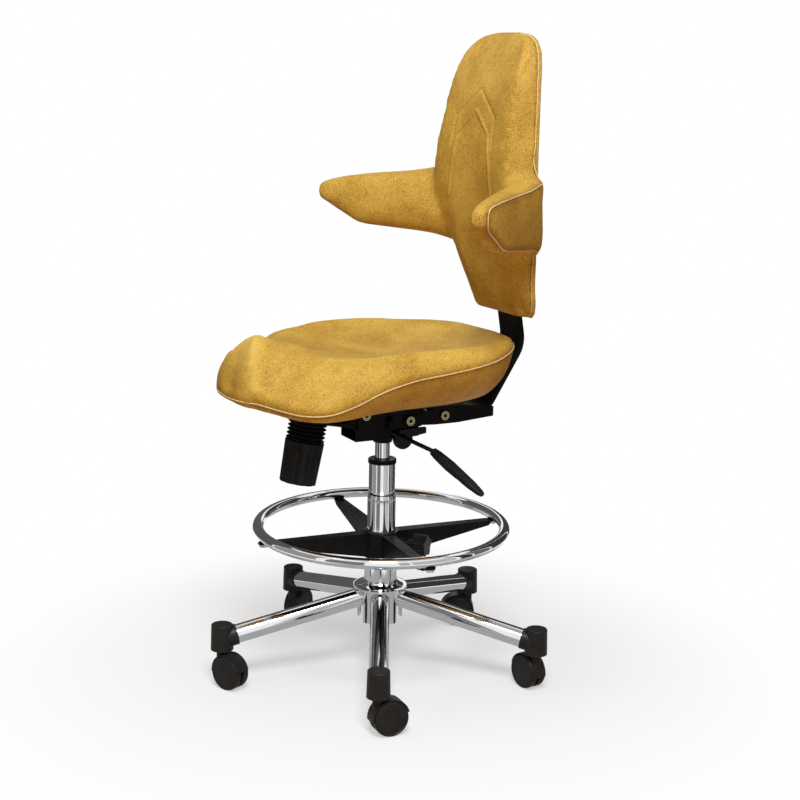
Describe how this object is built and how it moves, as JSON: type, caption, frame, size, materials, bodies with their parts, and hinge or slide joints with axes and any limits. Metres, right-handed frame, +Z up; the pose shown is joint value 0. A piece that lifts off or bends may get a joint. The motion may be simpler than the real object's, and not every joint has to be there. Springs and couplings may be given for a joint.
{
  "type": "medical chair",
  "caption": "Saddle-seat medical work chair with padded arm wings wrapped round a tall back, tilt mechanism, gas lift, foot ring and star base on twin-wheel casters.",
  "frame": {"origin": "on the floor, on the column's axis", "axes": "+Z up, -Y towards the sitter's front, +X towards the sitter's left, where the height lever is"},
  "size_m": [0.6689, 0.6273, 1.214],
  "materials": {
    "tan_leather": "mottled golden tan upholstery leather with pale piping",
    "chrome": "bright chrome plate",
    "black_plastic": "matte black moulded plastic",
    "black_steel": "black powder coat",
    "steel": "zinc-plated steel",
    "plywood": "bare moulded plywood",
    "black_rubber": "matte black rubber"
  },
  "bodies": {
    "base": {"base_hub": "chrome", "base_arm_1": "chrome", "base_arm_2": "chrome", "base_arm_3": "chrome", "base_arm_4": "chrome", "base_arm_5": "chrome", "arm_end_caps": "black_plastic", "column_tube": "chrome", "column_sleeve": "chrome", "guide_bush": "black_plastic", "column_bearing": "steel"},
    "gas_rod": {"piston_rod": "steel"},
    "mechanism": {"pressure_tube": "chrome", "mechanism_housing": "black_steel", "pivot_axles": "steel", "bellows": "black_rubber", "tilt_spring": "steel"},
    "release": {"release_pin": "steel"},
    "lever": {"lever_rod": "black_steel", "lever_grip": "black_plastic"},
    "seat": {"seat_plate": "black_steel", "seat_pan": "plywood", "seat_cushion": "tan_leather", "seat_bolts": "steel", "tension_spindle": "steel"},
    "knob": {"tension_knob": "black_plastic"},
    "back": {"back_carrier": "black_steel", "rear_pivot": "steel", "back_bar": "black_steel", "back_cushion": "tan_leather", "back_cover": "tan_leather", "arm_left": "tan_leather", "arm_right": "tan_leather", "back_bolts": "steel"},
    "tilt_lock": {"tilt_lock_cam": "black_plastic"},
    "ring_carriage": {"ring_bush": "black_plastic"},
    "ring": {"foot_ring": "chrome", "ring_spider": "black_steel", "ring_screws": "steel"},
    "ring_clamp": {"ring_knob": "black_plastic"},
    "caster_1": {"caster_1_hood": "black_plastic", "caster_1_pins": "steel"},
    "caster_1_wheel_left": {"caster_1_wheel_left": "black_plastic"},
    "caster_1_wheel_right": {"caster_1_wheel_right": "black_plastic"},
    "caster_2": {"caster_2_hood": "black_plastic", "caster_2_pins": "steel"},
    "caster_2_wheel_left": {"caster_2_wheel_left": "black_plastic"},
    "caster_2_wheel_right": {"caster_2_wheel_right": "black_plastic"},
    "caster_3": {"caster_3_hood": "black_plastic", "caster_3_pins": "steel"},
    "caster_3_wheel_left": {"caster_3_wheel_left": "black_plastic"},
    "caster_3_wheel_right": {"caster_3_wheel_right": "black_plastic"},
    "caster_4": {"caster_4_hood": "black_plastic", "caster_4_pins": "steel"},
    "caster_4_wheel_left": {"caster_4_wheel_left": "black_plastic"},
    "caster_4_wheel_right": {"caster_4_wheel_right": "black_plastic"},
    "caster_5": {"caster_5_hood": "black_plastic", "caster_5_pins": "steel"},
    "caster_5_wheel_left": {"caster_5_wheel_left": "black_plastic"},
    "caster_5_wheel_right": {"caster_5_wheel_right": "black_plastic"}
  },
  "joints": [
    {"name": "seat_swivel", "type": "hinge", "parent": "base", "child": "gas_rod", "pos_m": [0, 0, 0.3], "axis": [0, 0, 1], "continuous": true},
    {"name": "seat_lift", "type": "slide", "parent": "gas_rod", "child": "mechanism", "axis": [0, 0, 1], "range_m": [-0.025, 0.165]},
    {"name": "back_recline", "type": "hinge", "parent": "mechanism", "child": "back", "pos_m": [0, 0.0323, 0.50378], "axis": [-1, 0, 0], "range_deg": [0, 20], "stiffness_Nm_per_rad": 120, "springref_deg": -25.78},
    {"name": "seat_tilt", "type": "hinge", "parent": "mechanism", "child": "seat", "pos_m": [0, -0.058, 0.52048], "axis": [-1, 0, 0], "range_deg": [0, 9], "deforming": ["bellows", "tilt_spring"]},
    {"name": "tension_turn", "type": "hinge", "parent": "seat", "child": "knob", "pos_m": [0, -0.15, 0.53198], "axis": [0, -0.184, -0.9829], "range_deg": [-180, 180]},
    {"name": "height_lever", "type": "hinge", "parent": "mechanism", "child": "lever", "pos_m": [0.041, -0.00724, 0.51198], "axis": [0, -1, 0], "range_deg": [0, 8], "stiffness_Nm_per_rad": 4, "springref_deg": -6.88},
    {"name": "release_press", "type": "slide", "parent": "mechanism", "child": "release", "axis": [0, 0, -1], "range_m": [0, 0.0065]},
    {"name": "tilt_lock_turn", "type": "hinge", "parent": "mechanism", "child": "tilt_lock", "pos_m": [0.0363, 0.024, 0.47398], "axis": [-1, 0, 0], "range_deg": [0, 35]},
    {"name": "foot_ring_height", "type": "slide", "parent": "base", "child": "ring_carriage", "axis": [0, 0, 1], "range_m": [-0.015, 0.055]},
    {"name": "foot_ring_turn", "type": "hinge", "parent": "ring_carriage", "child": "ring", "pos_m": [0, 0, 0.26], "axis": [0, 0, 1], "continuous": true},
    {"name": "ring_clamp_turn", "type": "hinge", "parent": "ring", "child": "ring_clamp", "pos_m": [0.05209, 0.04371, 0.26198], "axis": [0.766, 0.6428, 0], "range_deg": [-180, 180]},
    {"name": "caster_1_swivel", "type": "hinge", "parent": "base", "child": "caster_1", "pos_m": [0.2771, -0.14119, 0.09], "axis": [0, 0, 1], "continuous": true},
    {"name": "caster_1_wheel_left_roll", "type": "hinge", "parent": "caster_1", "child": "caster_1_wheel_left", "pos_m": [0.27818, -0.12072, 0.0325], "axis": [-0.9986, 0.0523, 0], "continuous": true},
    {"name": "caster_1_wheel_right_roll", "type": "hinge", "parent": "caster_1", "child": "caster_1_wheel_right", "pos_m": [0.27818, -0.12072, 0.0325], "axis": [-0.9986, 0.0523, 0], "continuous": true},
    {"name": "caster_2_swivel", "type": "hinge", "parent": "base", "child": "caster_2", "pos_m": [0.21991, 0.21991, 0.09], "axis": [0, 0, 1], "continuous": true},
    {"name": "caster_2_wheel_left_roll", "type": "hinge", "parent": "caster_2", "child": "caster_2_wheel_left", "pos_m": [0.19956, 0.21741, 0.0325], "axis": [0.1219, -0.9925, 0], "continuous": true},
    {"name": "caster_2_wheel_right_roll", "type": "hinge", "parent": "caster_2", "child": "caster_2_wheel_right", "pos_m": [0.19956, 0.21741, 0.0325], "axis": [0.1219, -0.9925, 0], "continuous": true},
    {"name": "caster_3_swivel", "type": "hinge", "parent": "base", "child": "caster_3", "pos_m": [-0.14119, 0.2771, 0.09], "axis": [0, 0, 1], "continuous": true},
    {"name": "caster_3_wheel_left_roll", "type": "hinge", "parent": "caster_3", "child": "caster_3_wheel_left", "pos_m": [-0.1505, 0.25884, 0.0325], "axis": [0.891, -0.454, 0], "continuous": true},
    {"name": "caster_3_wheel_right_roll", "type": "hinge", "parent": "caster_3", "child": "caster_3_wheel_right", "pos_m": [-0.1505, 0.25884, 0.0325], "axis": [0.891, -0.454, 0], "continuous": true},
    {"name": "caster_4_swivel", "type": "hinge", "parent": "base", "child": "caster_4", "pos_m": [-0.30717, -0.04865, 0.09], "axis": [0, 0, 1], "continuous": true},
    {"name": "caster_4_wheel_left_roll", "type": "hinge", "parent": "caster_4", "child": "caster_4_wheel_left", "pos_m": [-0.31834, -0.03146, 0.0325], "axis": [-0.8387, -0.5446, 0], "continuous": true},
    {"name": "caster_4_wheel_right_roll", "type": "hinge", "parent": "caster_4", "child": "caster_4_wheel_right", "pos_m": [-0.31834, -0.03146, 0.0325], "axis": [-0.8387, -0.5446, 0], "continuous": true},
    {"name": "caster_5_swivel", "type": "hinge", "parent": "base", "child": "caster_5", "pos_m": [-0.04865, -0.30717, 0.09], "axis": [0, 0, 1], "continuous": true},
    {"name": "caster_5_wheel_left_roll", "type": "hinge", "parent": "caster_5", "child": "caster_5_wheel_left", "pos_m": [-0.03007, -0.29851, 0.0325], "axis": [-0.4226, 0.9063, 0], "continuous": true},
    {"name": "caster_5_wheel_right_roll", "type": "hinge", "parent": "caster_5", "child": "caster_5_wheel_right", "pos_m": [-0.03007, -0.29851, 0.0325], "axis": [-0.4226, 0.9063, 0], "continuous": true}
  ],
  "couplings": [
    {"joint": "seat_tilt", "follows": "back_recline", "ratio": 0.4497},
    {"joint": "release_press", "follows": "height_lever", "m_per_rad": 0.046}
  ]
}
